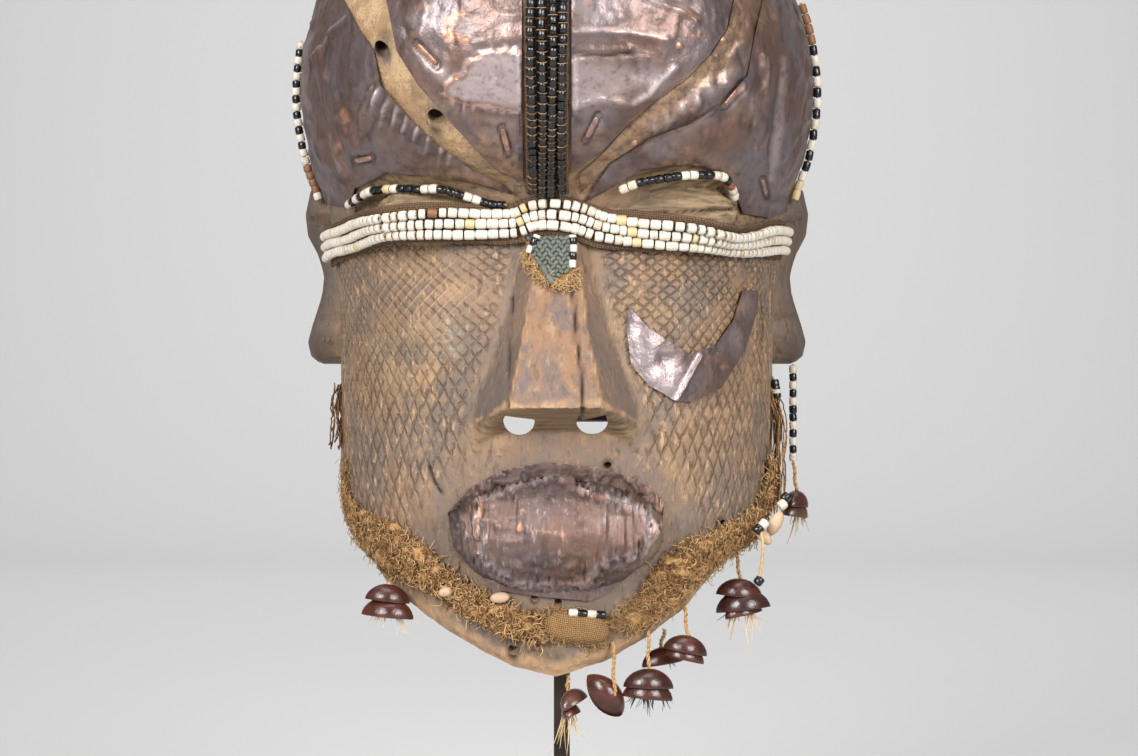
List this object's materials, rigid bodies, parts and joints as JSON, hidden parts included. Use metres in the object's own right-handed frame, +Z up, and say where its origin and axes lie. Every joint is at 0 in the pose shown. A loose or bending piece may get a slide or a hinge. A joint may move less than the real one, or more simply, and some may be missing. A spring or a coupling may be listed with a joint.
{
  "type": "kuba bwoom helmet mask on stand",
  "caption": "Hollow carved wooden helmet mask with copper sheets, sewn bead bands, raffia edge and seed rattles, held upright on a post with a flat base.",
  "frame": {"origin": "middle of the base plate's underside", "axes": "+Z up, the face looks along -Y, the viewer's right is +X"},
  "size_m": [0.2627, 0.2963, 0.5163],
  "materials": {
    "carved_wood": "aged, dark, scored with lozenges",
    "patinated_copper": "beaten copper, brown and violet patina",
    "white_beads": "opaque chalky glass",
    "black_beads": "opaque glossy glass",
    "green_beads": "opaque grey-green glass",
    "brown_cloth": "worn woven raffia cloth",
    "raffia": "frayed golden-brown raffia",
    "seed_shell": "polished seed shells, dark red-brown",
    "stand_steel": "dark brown bronzed steel"
  },
  "bodies": {
    "root": {"brow_beads_left": "black_beads", "brow_beads_right": "black_beads", "chin_cloth_roll": "raffia", "copper_cheek_crescent": "patinated_copper", "copper_forehead_left": "patinated_copper", "copper_forehead_right": "patinated_copper", "copper_hairline_right": "patinated_copper", "copper_lip_sheet": "patinated_copper", "copper_temple_left": "patinated_copper", "copper_temple_right": "patinated_copper", "crown_band_beads": "black_beads", "crown_band_cloth": "brown_cloth", "ear_string_right": "black_beads", "eye_band_beads": "white_beads", "eye_band_cloth": "brown_cloth", "nose_pendant": "green_beads", "raffia_edge_left": "raffia", "raffia_edge_right": "raffia", "rattle_chin_back": "seed_shell", "rattle_chin_left": "seed_shell", "rattle_chin_middle": "seed_shell", "rattle_chin_right": "seed_shell", "rattle_jaw_left": "seed_shell", "rattle_jaw_middle": "seed_shell", "rattle_jaw_right": "seed_shell", "rattle_side_right": "seed_shell", "side_beads_left": "black_beads", "side_beads_right": "black_beads", "stand_base": "stand_steel", "stand_crown_pad": "stand_steel", "stand_post": "stand_steel", "stand_prong_left": "stand_steel", "stand_prong_right": "stand_steel", "wood_helmet": "carved_wood"}
  },
  "joints": []
}
